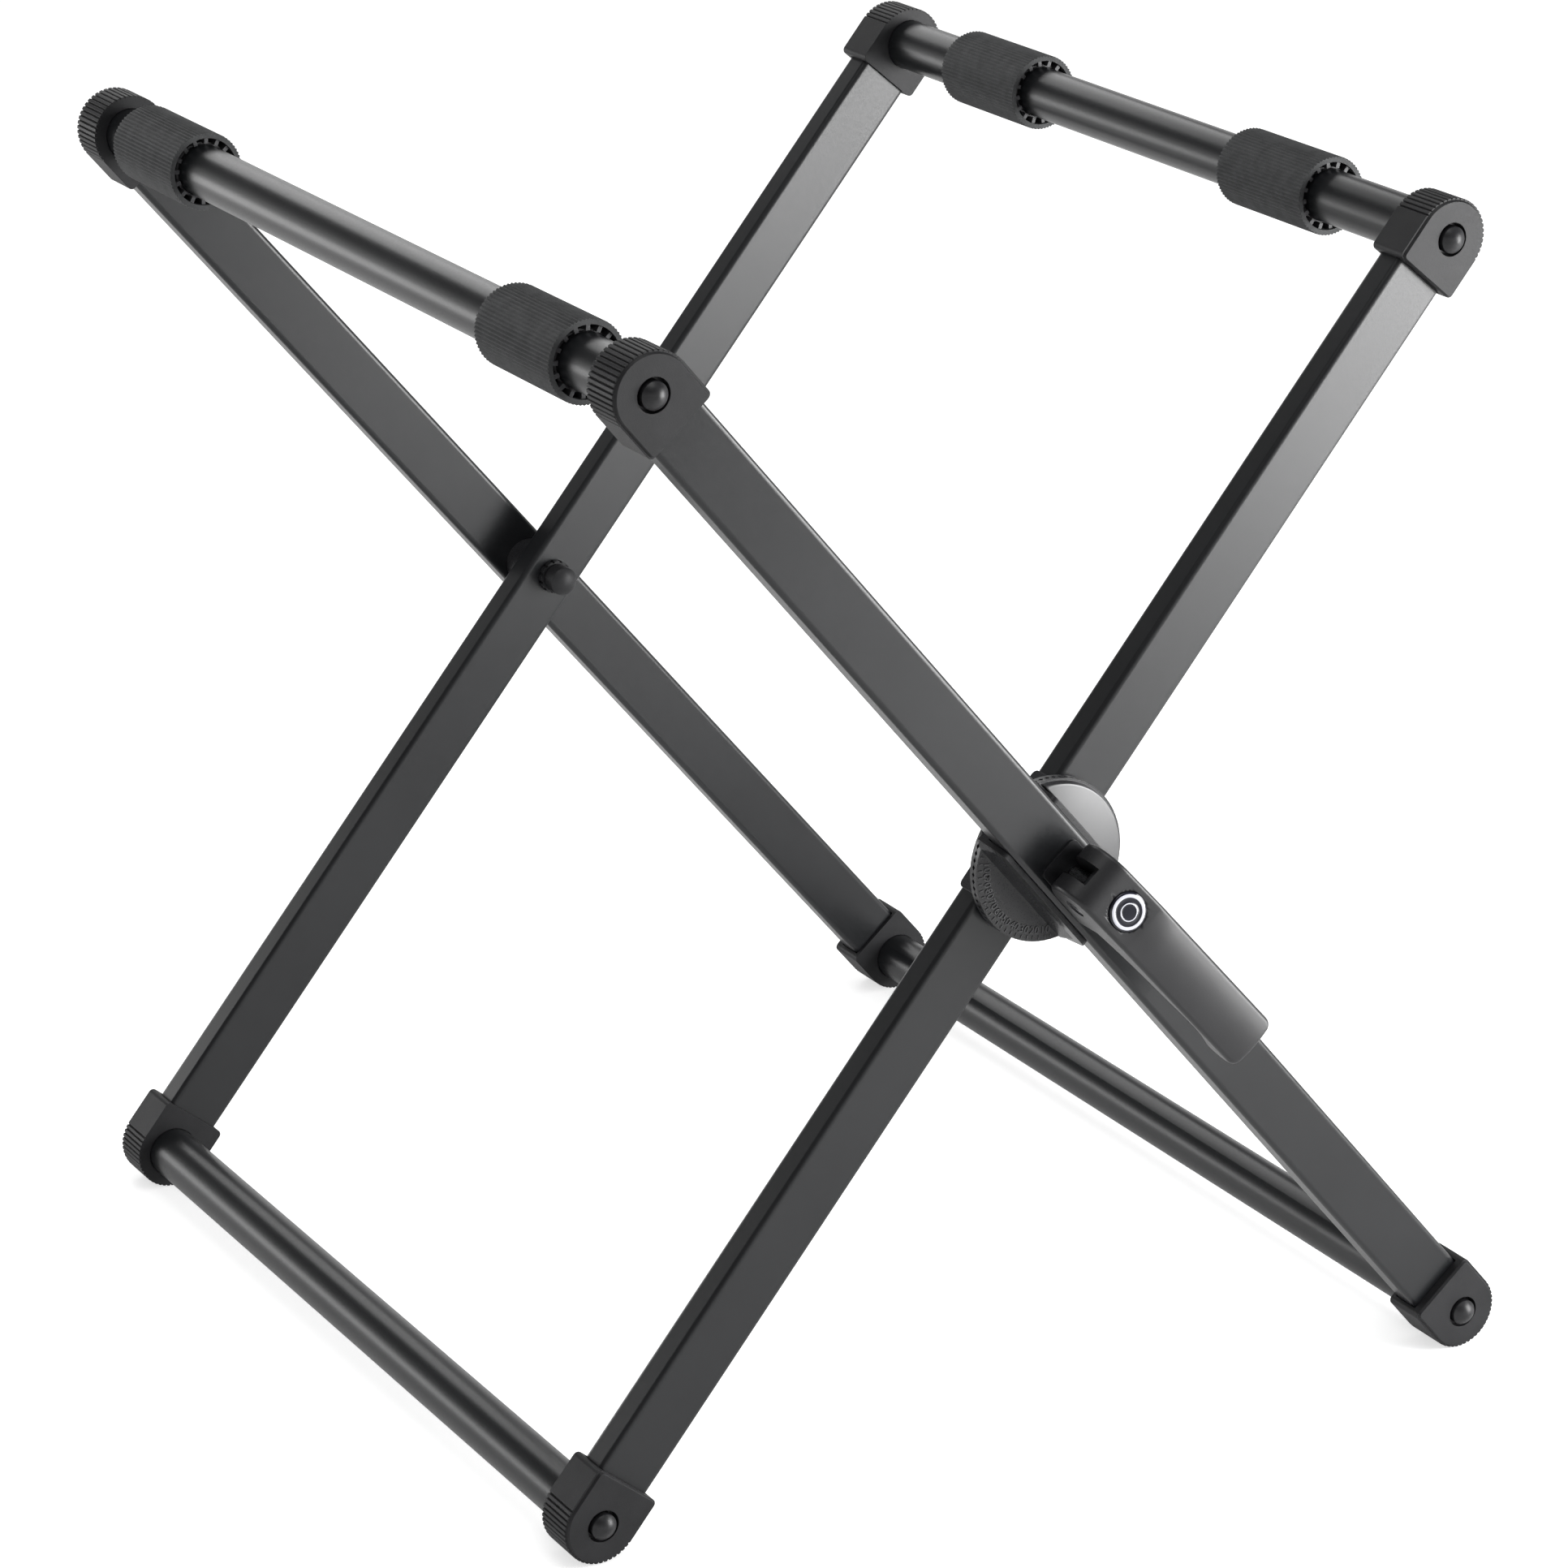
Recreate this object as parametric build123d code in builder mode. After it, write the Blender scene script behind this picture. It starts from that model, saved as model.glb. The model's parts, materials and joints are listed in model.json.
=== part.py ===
from build123d import *
import os
from math import atan2, cos, degrees, radians, sin, tan

os.makedirs("parts", exist_ok=True)

# A folding X-shaped drum stand. Two rectangular frames cross at a toothed hinge: the outer
# frame has its feet on the right, the inner frame on the left. X runs across the stand,
# Y from the clamp lever at the front to the back, and Z up from the floor.

# Frames
leg_slope = 50.0           # degrees between a leg and the floor, with the stand opened to 80
top_reach = 331.4          # pivot to the axis of an upper bar
foot_reach = 354.9         # pivot to the axis of a lower bar
inner_half = 234.0         # middle plane to the outer face of an inner leg
hinge_gap = 13.3           # between an inner leg and the outer leg beside it
leg_width = 30.0
leg_depth = 15.0
leg_wall = 1.5
leg_corner = 2.5
bar_dia = 25.0
bar_wall = 1.5
seat_gap = 0.2             # clearance of a piece that is pushed over a tube
running_gap = 0.05         # radial clearance of what turns or slides on a shaft
body_gap = 0.3             # clearance between pieces that pass each other
hole_gap = 0.3             # radial clearance of a bolt in a drilled hole
crown_flat = 0.5           # radius of the small flat in the middle of a dome

# End caps
cap_radius = 18.8
cap_end = 21.0             # bar axis to the flat end that the leg goes into
cap_face = 5.1             # wall outside the leg
cap_back = 2.0             # wall inside the leg, with the hole for the bar
cap_corner = 2.5
cap_bevel = 1.2
rib_count = 24
rib_depth = 0.9
rib_groove = 1.1           # width of the groove between two ribs
recess_dia = 15.5          # hole in the face for the bolt head

# Corner bolts and the plugs that they screw into
corner_thread = 6.0
head_dia = 12.4
head_side = 6.0            # straight side of the head
head_height = 9.6
bolt_engage = 14.0         # length of thread inside the plug
plug_length = 20.0

# Rests: a ribbed rubber sleeve on a finned core
rest_length = 65.0
sleeve_dia = 37.2
sleeve_bore = 32.0
sleeve_ribs = 64
sleeve_rib_depth = 0.6
core_wall = 1.1
core_inset = 4.0           # core tube inside the end of the sleeve
fin_inset = 1.2            # fins inside the end of the sleeve
fin_count = 16
fin_thick = 1.9
outer_rest_front = -179.2  # middle of each rest, from the middle plane
outer_rest_rear = 191.8
inner_rest_front = -116.0
inner_rest_rear = 124.0

# Toothed hinge plates
disc_radius = 38.3
tooth_count = 72
tooth_height = 1.0
tooth_gap = 0.2            # between the tips, with the clamp released
tooth_ring = 7.0           # radial length of a tooth
tooth_land = 0.3           # flat top of a tooth at its inner end
tooth_floor = 0.1          # ring left below the grooves
seam_depth = 7.3           # outer leg's inner face to the tips of the outer plate's teeth
rim_thick = 1.5
pad_radius = 37.4          # smooth half of the outer plate
pad_rise = 1.8             # its face above the scale
pad_start = 19.8           # its straight edge from the leg's centre line
pad_draft = 25.0
lip_wall = 2.4
lip_rise = 12.5            # outer plate's lips past the leg's broad face
lip_half_length = 34.0
lip_corner = 3.0
base_half_length = 38.0
base_corner = 6.0
flare_width = 2.2          # foot of a lip, outside the lip
flare_rise = 5.0           # up to where a lip's side is straight
inner_lip_half_length = 31.0
inner_lip_short = 1.5      # inner plate's lips short of the leg's depth
rim_undercut = 45.0
spring_pocket_radius = 14.0
spring_pocket_depth = 2.6

# Clamp
clamp_thread = 8.0
pin_dia = 10.0
pin_height = 16.3          # outer leg's outer face to the barrel pin's axis
pin_inset = 0.4
pin_chamfer = 0.6
cam_radius = 15.0
cam_offset = 0.7
cam_plate_thick = 1.0
cam_plate_width = 22.0
clamp_bolt_past = 1.4      # bolt's end beyond the barrel pin
washer_thick = 1.6
clamp_washer_radius = 8.5
clamp_head_flats = 13.0
clamp_head_height = 5.3
spring_count = 2
spring_radius = 13.0
spring_thick = 0.9
spring_gap = 0.1

# Lever
lever_half_width = 13.2
lever_length = 105.0       # pivot to the end of the handle
lever_nose_slope = 12.0
lever_nose_end = 21.0
lever_arm_slope = 7.2
lever_skin = 2.6
lever_side_wall = 2.4
lever_round = 2.0          # front edges
lever_end_round = 4.0
heel_reach = 17.8          # pivot to the back of the hub, which stops on the cam plate
heel_height = 17.5
arm_depth = 5.2            # height of the handle's side where it is shallowest
finger_stop = 4.2          # how far the bump near the handle's end hangs below it
slot_half_width = 4.7
slot_radius = 8.7          # room round the barrel pin's axis for the bolt's end
badge_radius = 9.0
badge_place = 9.5          # along the lever from the pivot
badge_sink = 0.8
badge_crown = 0.7
badge_thick = 1.6

# Rear pivot
rear_thread = 6.0
rear_head_dia = 14.0
rear_head_height = 4.0
rear_head_bevel = 2.0
rear_end_past = 1.0        # bolt's end beyond the nut
spacer_radius = 12.0
rear_washer_radius = 7.0
rear_nut_flats = 10.0
rear_nut_height = 5.0
cover_skirt_wall = 1.4
cover_skirt = 3.0
cover_radius = 7.3
cover_height = 14.5
cover_dome = 3.2
cover_groove = 0.8
cover_notches = 12
notch_size = 1.4

# Sizes that follow from those above
slope = radians(leg_slope)
inner_leg_back = inner_half - leg_depth          # middle plane to an inner leg's inner face
outer_leg_back = inner_half + hinge_gap
outer_half = outer_leg_back + leg_depth
pivot_height = foot_reach * sin(slope) + cap_radius
nose_angle = radians(90 + lever_nose_slope)      # where the lever's front leaves the cam
nose_start = (cam_offset + cam_radius * cos(nose_angle), pin_height + cam_radius * sin(nose_angle))


def lever_front(along):
    """Height of the lever's front face above the outer leg, at a distance from the pivot."""
    nose = min(along, lever_nose_end) - nose_start[0]
    arm = max(along - lever_nose_end, 0)
    rise = nose * tan(radians(lever_nose_slope)) + arm * tan(radians(lever_arm_slope))
    return nose_start[1] + rise


front_reach = outer_half + lever_front(lever_length - lever_round)
rear_reach = outer_half + head_height
mid_y = (front_reach - rear_reach) / 2           # the stand's middle plane behind the origin


def leg_direction(side):
    """Unit vector down a leg: side 1 is the outer frame, side -1 the inner one."""
    return Vector(side * cos(slope), 0, -sin(slope))


def face_view(side, y, along=0.0, facing=-1):
    """Plane on a leg's broad face: local x runs down the leg, local z towards facing."""
    place = leg_direction(side) * along + Vector(0, mid_y + y, pivot_height)
    return Plane(origin=place, x_dir=leg_direction(side), z_dir=(0, facing, 0))


def edge_view(side, y):
    """Plane through the pivot and a leg's length: local x runs down the leg, local y forward."""
    down = leg_direction(side)
    place = Vector(0, mid_y + y, pivot_height)
    return Plane(origin=place, x_dir=down, z_dir=down.cross(Vector(0, -1, 0)))


def corner_plane(side, end, y, facing):
    """Plane at a bar's axis, with local x towards the pivot and local z towards facing."""
    along = -top_reach if end == "top" else foot_reach
    place = leg_direction(side) * along + Vector(0, mid_y + y, pivot_height)
    towards_pivot = leg_direction(side) * (1 if end == "top" else -1)
    return Plane(origin=place, x_dir=towards_pivot, z_dir=(0, facing, 0))


def turning_plane(centre, facing):
    """Half section of a turned piece: local x is the radius, local y runs towards facing."""
    return Plane(origin=centre, x_dir=(1, 0, 0), z_dir=(0, 0, facing))


def crown_arc(rim, base, top):
    """Spherical crown of a turned piece, up to the small flat in its middle."""
    rise = top - base
    return RadiusArc((rim, base), (crown_flat, top), -(rim**2 + rise**2) / (2 * rise))


def turned_point(radius, angle):
    """Point of a sketch at an angle in degrees."""
    return (radius * cos(radians(angle)), radius * sin(radians(angle)))


def rib_points(radius, depth, count):
    """Crests and grooves in turn, all the way round."""
    pitch = 360 / count
    return [turned_point(radius - depth * half, pitch * (i + half / 2))
            for i in range(count) for half in (0, 1)]


def nose_points():
    """Half circle of a cap's nose, with flat crests between its grooves."""
    pitch = 180 / rib_count
    half_groove = degrees(rib_groove / 2 / cap_radius)
    points = [turned_point(cap_radius, 90)]
    for i in range(rib_count):
        groove = 90 + pitch * (i + 0.5)
        points += [turned_point(cap_radius, groove - half_groove),
                   turned_point(cap_radius - rib_depth, groove),
                   turned_point(cap_radius, groove + half_groove)]
    return points + [turned_point(cap_radius, 270)]


def finish(part, name):
    part.label = name
    export_step(part, f"parts/{name}.step")


def make_leg(side, y_mid, pivot_hole_radius, name):
    """Rectangular tube, rounded at both ends in line with the bars."""
    middle = (foot_reach - top_reach) / 2
    length = foot_reach + top_reach + leg_width
    start = face_view(side, y_mid, middle - length / 2).origin
    section = Plane(origin=start, x_dir=(0, 1, 0), z_dir=leg_direction(side))
    with BuildPart() as leg:
        with BuildSketch(section):
            RectangleRounded(leg_depth, leg_width, leg_corner)
            Rectangle(leg_depth - 2 * leg_wall, leg_width - 2 * leg_wall, mode=Mode.SUBTRACT)
        extrude(amount=length)
        with BuildSketch(face_view(side, y_mid, middle)):
            SlotOverall(length, leg_width)
        extrude(amount=leg_depth, both=True, mode=Mode.INTERSECT)
        with BuildSketch(face_view(side, y_mid)):
            Circle(pivot_hole_radius)
            with Locations((-top_reach, 0), (foot_reach, 0)):
                Circle(corner_thread / 2 + hole_gap)
        extrude(amount=leg_depth, both=True, mode=Mode.SUBTRACT)
    finish(leg.part, name)


def make_bar(side, end, half_length, name):
    """Round cross bar between the inner faces of its two legs."""
    with BuildPart() as bar:
        with BuildSketch(corner_plane(side, end, 0, 1)):
            Circle(bar_dia / 2)
            Circle(bar_dia / 2 - bar_wall, mode=Mode.SUBTRACT)
        extrude(amount=half_length, both=True)
    finish(bar.part, name)


def make_cap(side, end, facing, leg_half, name):
    """D-shaped boot over the end of a leg, ribbed round its nose."""
    face = corner_plane(side, end, facing * (leg_half + cap_face), facing)
    cap_depth = cap_face + leg_depth + seat_gap + cap_back
    back = face.offset(-cap_depth)
    leg_top = face.offset(-cap_face)
    with BuildPart() as cap:
        with BuildSketch(back):
            Polygon(*nose_points(), align=None)
            with Locations((cap_end / 2, 0)):
                Rectangle(cap_end, 2 * cap_radius)
            fillet(vertices().group_by(Axis.X)[-1], cap_corner)
        extrude(amount=cap_depth - cap_bevel)
        with BuildSketch(face.offset(-cap_bevel)):
            Circle(cap_radius - rib_depth)
            with Locations((cap_end / 2, 0)):
                Rectangle(cap_end, 2 * (cap_radius - rib_depth))
            fillet(vertices().group_by(Axis.X)[-1], cap_corner)
        extrude(amount=cap_bevel, taper=30)
        with BuildSketch(leg_top):
            Circle(leg_width / 2 + seat_gap)
            with Locations((cap_end / 2, 0)):
                Rectangle(cap_end, leg_width + 2 * seat_gap)
        extrude(amount=-leg_depth - seat_gap, mode=Mode.SUBTRACT)
        with BuildSketch(leg_top):
            Circle(recess_dia / 2)
        extrude(amount=cap_face, mode=Mode.SUBTRACT)
        with BuildSketch(back):
            Circle(bar_dia / 2 + seat_gap)
        extrude(amount=cap_back + seat_gap, mode=Mode.SUBTRACT)
    finish(cap.part, name)


def make_corner_bolts(side, leg_half, name):
    """Domed bolts through the leg ends, four to a frame."""
    with BuildPart() as bolts:
        for end in ("top", "foot"):
            for facing in (-1, 1):
                seat = corner_plane(side, end, facing * leg_half, facing)
                with BuildSketch(turning_plane(seat.origin, facing)):
                    with BuildLine():
                        Polyline((crown_flat, head_height), (0, head_height),
                                 (0, -leg_depth - bolt_engage),
                                 (corner_thread / 2, -leg_depth - bolt_engage),
                                 (corner_thread / 2, 0), (head_dia / 2, 0),
                                 (head_dia / 2, head_side))
                        crown_arc(head_dia / 2, head_side, head_height)
                    make_face()
                revolve(axis=Axis(seat.origin, seat.z_dir))
    finish(bolts.part, name)


def make_bar_plugs(side, half_length, name):
    """Threaded plugs pressed into the ends of a frame's bars."""
    with BuildPart() as plugs:
        for end in ("top", "foot"):
            for facing in (-1, 1):
                with BuildSketch(corner_plane(side, end, facing * half_length, facing)):
                    Circle(bar_dia / 2 - bar_wall - running_gap)
                    Circle(corner_thread / 2 + running_gap, mode=Mode.SUBTRACT)
                extrude(amount=-plug_length)
    finish(plugs.part, name)


def make_rest(side, middle, name):
    """Finned core that slides on the bar, and the ribbed rubber sleeve over it."""
    core_bore = bar_dia / 2 + running_gap
    fin_foot = core_bore + core_wall / 2
    fin_top = sleeve_bore / 2 - 2 * running_gap
    centre = corner_plane(side, "top", middle, 1)
    with BuildPart() as core:
        with BuildSketch(centre):
            Circle(core_bore + core_wall)
            Circle(core_bore, mode=Mode.SUBTRACT)
        extrude(amount=rest_length / 2 - core_inset, both=True)
        with BuildSketch(centre):
            with PolarLocations((fin_foot + fin_top) / 2, fin_count):
                Rectangle(fin_top - fin_foot, fin_thick)
        extrude(amount=rest_length / 2 - fin_inset, both=True)
    finish(core.part, f"{name}_core")
    with BuildPart() as sleeve:
        with BuildSketch(centre):
            Polygon(*rib_points(sleeve_dia / 2, sleeve_rib_depth, sleeve_ribs), align=None)
            Circle(sleeve_bore / 2, mode=Mode.SUBTRACT)
        extrude(amount=rest_length / 2, both=True)
    finish(sleeve.part, f"{name}_sleeve")


# Both frames
frames = {
    "outer": (1, outer_half, outer_leg_back),
    "inner": (-1, inner_half, inner_leg_back),
}
for frame_name, (side, leg_half, leg_back) in frames.items():
    leg_mid = (leg_half + leg_back) / 2
    make_leg(side, -leg_mid, clamp_thread / 2 + hole_gap, f"{frame_name}_leg_front")
    make_leg(side, leg_mid, rear_thread / 2 + hole_gap, f"{frame_name}_leg_rear")
    for end in ("top", "foot"):
        make_bar(side, end, leg_back, f"{frame_name}_bar_{end}")
        make_cap(side, end, -1, leg_half, f"{frame_name}_cap_{end}_front")
        make_cap(side, end, 1, leg_half, f"{frame_name}_cap_{end}_rear")
    make_corner_bolts(side, leg_half, f"{frame_name}_corner_bolts")
    make_bar_plugs(side, leg_back, f"{frame_name}_bar_plugs")

make_rest(1, outer_rest_front, "outer_rest_front")
make_rest(1, outer_rest_rear, "outer_rest_rear")
make_rest(-1, inner_rest_front, "inner_rest_front")
make_rest(-1, inner_rest_rear, "inner_rest_rear")


# Toothed hinge plates. Heights are measured forward from the leg face that a plate sits on,
# so the outer plate lies behind its leg and its teeth meet those of the inner plate.
outer_seat = face_view(1, -outer_leg_back)
inner_seat = face_view(-1, -inner_half)
outer_tip = -seam_depth
outer_root = outer_tip + tooth_height
inner_tip = hinge_gap - seam_depth - tooth_gap
inner_root = inner_tip - tooth_height
scale_height = outer_root + rim_thick
inner_rim = inner_root - rim_thick
lip_inside = leg_width / 2 + seat_gap
lip_outside = lip_inside + lip_wall
groove_width = 2 * (disc_radius - tooth_ring) * tan(radians(180 / tooth_count)) - tooth_land


def disc_outline(radius, mode=Mode.ADD):
    """Outline with one flat for each groove, so that the teeth stand on its corners."""
    RegularPolygon(radius, tooth_count, rotation=180 / tooth_count, mode=mode)


def groove_plane(seat):
    """End view of one groove between two teeth, just inside the ring of teeth."""
    start = seat.origin + seat.x_dir * (disc_radius - tooth_ring - 1)
    return Plane(origin=start, x_dir=seat.y_dir, z_dir=seat.x_dir)


with BuildPart() as outer_groove:
    with BuildSketch(groove_plane(outer_seat)):
        Polygon((-groove_width / 2, outer_tip), (groove_width / 2, outer_tip),
                (0, outer_root - tooth_floor), align=None)
    extrude(amount=tooth_ring + 2)

with BuildPart() as inner_groove:
    with BuildSketch(groove_plane(inner_seat)):
        Polygon((-groove_width / 2, inner_tip), (groove_width / 2, inner_tip),
                (0, inner_root + tooth_floor), align=None)
    extrude(amount=tooth_ring + 2)

outer_axis = Axis(outer_seat.origin, outer_seat.z_dir)
inner_axis = Axis(inner_seat.origin, inner_seat.z_dir)
tooth_angles = [360 * i / tooth_count for i in range(tooth_count)]
outer_cuts = [outer_groove.part.rotate(outer_axis, angle) for angle in tooth_angles]
inner_cuts = [inner_groove.part.rotate(inner_axis, angle) for angle in tooth_angles]

with BuildPart() as outer_hinge_plate:
    # rim with its ring of teeth
    with BuildSketch(outer_seat.offset(outer_tip)):
        disc_outline(disc_radius)
        disc_outline(disc_radius - tooth_ring, Mode.SUBTRACT)
    extrude(amount=tooth_height)
    with BuildSketch(outer_seat.offset(outer_root)):
        disc_outline(disc_radius)
    extrude(amount=rim_thick)
    # smooth half beside the scale
    with BuildSketch(outer_seat.offset(scale_height)):
        Circle(pad_radius)
        with Locations((0, pad_start - pad_radius)):
            Rectangle(2 * pad_radius, 2 * pad_radius, mode=Mode.SUBTRACT)
    extrude(amount=pad_rise, taper=pad_draft)
    # flared foot and the lips that hold the leg between them
    with BuildSketch(outer_seat.offset(scale_height)):
        RectangleRounded(2 * base_half_length, 2 * (lip_outside + flare_width), base_corner)
    extrude(amount=flare_rise - scale_height,
            taper=degrees(atan2(flare_width, flare_rise - scale_height)))
    with BuildSketch(edge_view(1, -outer_leg_back)):
        Polygon((-base_half_length, scale_height), (base_half_length, scale_height),
                (lip_half_length, lip_rise), (-lip_half_length, lip_rise), align=None)
        fillet(vertices().group_by(Axis.Y)[-1], lip_corner)
    extrude(amount=lip_outside, both=True)
    with BuildSketch(outer_seat):
        Rectangle(2 * base_half_length, 2 * lip_inside)
    extrude(amount=lip_rise, mode=Mode.SUBTRACT)
    # pocket for the release springs, and the bore for the clamp bolt
    with BuildSketch(outer_seat.offset(outer_root)):
        Circle(spring_pocket_radius)
    extrude(amount=spring_pocket_depth, mode=Mode.SUBTRACT)
    with BuildSketch(outer_seat):
        Circle(clamp_thread / 2 + hole_gap)
    extrude(amount=outer_root, mode=Mode.SUBTRACT)
    add(outer_cuts, mode=Mode.SUBTRACT)
finish(outer_hinge_plate.part, "outer_hinge_plate")

with BuildPart() as inner_hinge_plate:
    with BuildSketch(inner_seat.offset(inner_root)):
        disc_outline(disc_radius)
        disc_outline(disc_radius - tooth_ring, Mode.SUBTRACT)
    extrude(amount=tooth_height)
    with BuildSketch(inner_seat.offset(inner_rim)):
        disc_outline(disc_radius)
    extrude(amount=rim_thick)
    with BuildSketch(inner_seat.offset(inner_rim)):
        Circle(disc_radius * cos(radians(180 / tooth_count)))
    extrude(amount=-inner_rim, taper=rim_undercut)
    with BuildSketch(edge_view(-1, -inner_half)):
        Polygon((-inner_lip_half_length, inner_rim), (inner_lip_half_length, inner_rim),
                (inner_lip_half_length, inner_lip_short - leg_depth),
                (-inner_lip_half_length, inner_lip_short - leg_depth), align=None)
        fillet(vertices().group_by(Axis.Y)[0], lip_corner)
    extrude(amount=lip_outside, both=True)
    with BuildSketch(inner_seat):
        Rectangle(2 * base_half_length, 2 * lip_inside)
    extrude(amount=-leg_depth, mode=Mode.SUBTRACT)
    with BuildSketch(inner_seat.offset(inner_root)):
        Circle(spring_pocket_radius)
    extrude(amount=-spring_pocket_depth, mode=Mode.SUBTRACT)
    with BuildSketch(inner_seat):
        Circle(clamp_thread / 2 + hole_gap)
    extrude(amount=inner_root, mode=Mode.SUBTRACT)
    add(inner_cuts, mode=Mode.SUBTRACT)
finish(inner_hinge_plate.part, "inner_hinge_plate")


# Disc springs in the pocket, which push the teeth apart when the clamp is released
pocket_floor = outer_root + spring_pocket_depth
pocket_depth = pocket_floor - (inner_root - spring_pocket_depth - hinge_gap)
spring_height = (pocket_depth - spring_gap * (spring_count + 1)) / spring_count
spring_bore = clamp_thread / 2 + hole_gap
with BuildPart() as release_springs:
    for i in range(spring_count):
        level = pocket_floor - (i + 1) * (spring_height + spring_gap)
        rim, hub = (spring_height - spring_thick, 0) if i % 2 == 0 else (0, spring_height - spring_thick)
        seat = outer_seat.offset(level)
        with BuildSketch(turning_plane(seat.origin, -1)):
            Polygon((spring_bore, hub), (spring_bore, hub + spring_thick),
                    (spring_radius, rim + spring_thick), (spring_radius, rim), align=None)
        revolve(axis=Axis(seat.origin, seat.z_dir))
finish(release_springs.part, "release_springs")


# Clamp: a bolt from behind the inner leg, a barrel pin at its end and a plate for the cam
clamp_face = face_view(1, -outer_half)
clamp_seat = face_view(1, -inner_leg_back).offset(-body_gap - washer_thick)
clamp_length = (clamp_face.origin - clamp_seat.origin).length + pin_height + pin_dia / 2
with BuildPart() as clamp_bolt:
    with BuildSketch(clamp_seat):
        Circle(clamp_thread / 2)
    extrude(amount=clamp_length + clamp_bolt_past)
    with BuildSketch(clamp_seat):
        RegularPolygon(clamp_head_flats / 2, 6, major_radius=False)
    extrude(amount=-clamp_head_height)
    chamfer(faces().sort_by(Axis.Y)[0].edges(), 0.8)
finish(clamp_bolt.part, "clamp_bolt")

with BuildPart() as clamp_washer:
    with BuildSketch(clamp_seat):
        Circle(clamp_washer_radius)
        Circle(clamp_thread / 2 + hole_gap, mode=Mode.SUBTRACT)
    extrude(amount=washer_thick)
finish(clamp_washer.part, "clamp_washer")

with BuildPart() as cam_plate:
    with BuildSketch(clamp_face):
        with Locations(((heel_reach + cam_offset - cam_radius) / 2, 0)):
            RectangleRounded(heel_reach + cam_radius - cam_offset, cam_plate_width, lip_corner)
        Circle(clamp_thread / 2 + hole_gap, mode=Mode.SUBTRACT)
    extrude(amount=cam_plate_thick)
finish(cam_plate.part, "cam_plate")

lever_view = edge_view(1, -outer_half)
pin_plane = Plane(origin=lever_view.from_local_coords((0, pin_height, 0)),
                  x_dir=lever_view.x_dir, z_dir=lever_view.z_dir)
with BuildPart() as barrel_pin:
    with BuildSketch(pin_plane):
        Circle(pin_dia / 2)
    extrude(amount=lever_half_width - pin_inset, both=True)
    chamfer(edges().filter_by(GeomType.CIRCLE), pin_chamfer)
    with BuildSketch(clamp_face):
        Circle(clamp_thread / 2 + running_gap)
    extrude(amount=2 * pin_height, mode=Mode.SUBTRACT)
finish(barrel_pin.part, "barrel_pin")


# Lever: a cam round the barrel pin, and a hollow handle that lies along the leg
def on_front_outline(edge):
    """Whether an edge lies round the lever's front, from the cam to the handle's end."""
    place = lever_view.to_local_coords(edge @ 0.5)
    in_front = place.X < 0 or place.Y > lever_front(place.X) - running_gap
    at_side = abs(place.Z) > lever_half_width - running_gap
    return in_front and (at_side or place.X > lever_length - lever_end_round)


def at_lever_end(edge):
    return lever_view.to_local_coords(edge @ 0.5).X > lever_length - running_gap


arm_start = lever_front(heel_reach) - heel_height
finger_at = lever_length - 11
with BuildPart() as clamp_lever:
    with BuildSketch(lever_view):
        with BuildLine():
            Polyline(nose_start, (lever_nose_end, lever_front(lever_nose_end)),
                     (lever_length, lever_front(lever_length)),
                     (lever_length, lever_front(lever_length) - arm_depth / 2),
                     (lever_length - 4, lever_front(lever_length) - arm_depth))
            Spline((lever_length - 4, lever_front(lever_length) - arm_depth),
                   (finger_at, lever_front(finger_at) - arm_depth - finger_stop),
                   (finger_at - 9, lever_front(finger_at - 9) - arm_depth),
                   (finger_at - 34, lever_front(finger_at - 34) - arm_depth - 0.6),
                   (heel_reach + 16, lever_front(heel_reach + 16) - (arm_start + arm_depth) / 2),
                   (heel_reach, heel_height))
            Polyline((heel_reach, heel_height), (heel_reach, pin_height - cam_radius),
                     (cam_offset, pin_height - cam_radius))
            ThreePointArc((cam_offset, pin_height - cam_radius),
                          (cam_offset - cam_radius, pin_height), nose_start)
        make_face()
    extrude(amount=lever_half_width, both=True)
    fillet(edges().filter_by(Axis.Y).filter_by(at_lever_end), lever_end_round)
    fillet(edges().filter_by(on_front_outline), lever_round)
    # hollow underside of the handle
    with BuildSketch(lever_view):
        hollow_start = heel_reach + 6
        hollow_end = lever_length - lever_side_wall
        Polygon((hollow_start, 0), (hollow_start, lever_front(hollow_start) - lever_skin),
                (hollow_end, lever_front(hollow_end) - lever_skin), (hollow_end, 0), align=None)
    extrude(amount=lever_half_width - lever_side_wall, both=True, mode=Mode.SUBTRACT)
    # bore for the barrel pin, and the slot that lets the lever swing past the bolt
    with BuildSketch(pin_plane):
        Circle(pin_dia / 2 + running_gap)
    extrude(amount=lever_half_width, both=True, mode=Mode.SUBTRACT)
    with BuildSketch(pin_plane):
        Circle(slot_radius)
        with Locations((slot_half_width, slot_radius)):
            Rectangle(2 * cam_radius + slot_half_width, pin_height + slot_radius,
                      align=(Align.MAX, Align.MAX))
    extrude(amount=slot_half_width, both=True, mode=Mode.SUBTRACT)
    # seat of the badge
    badge_origin = lever_view.from_local_coords((badge_place, lever_front(badge_place), 0))
    badge_up = (lever_view.y_dir * cos(radians(lever_nose_slope))
                - lever_view.x_dir * sin(radians(lever_nose_slope)))
    badge_plane = Plane(origin=badge_origin, x_dir=lever_view.z_dir, z_dir=badge_up)
    with BuildSketch(badge_plane):
        Circle(badge_radius + seat_gap)
    extrude(amount=-badge_sink, mode=Mode.SUBTRACT)
finish(clamp_lever.part, "clamp_lever")

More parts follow.
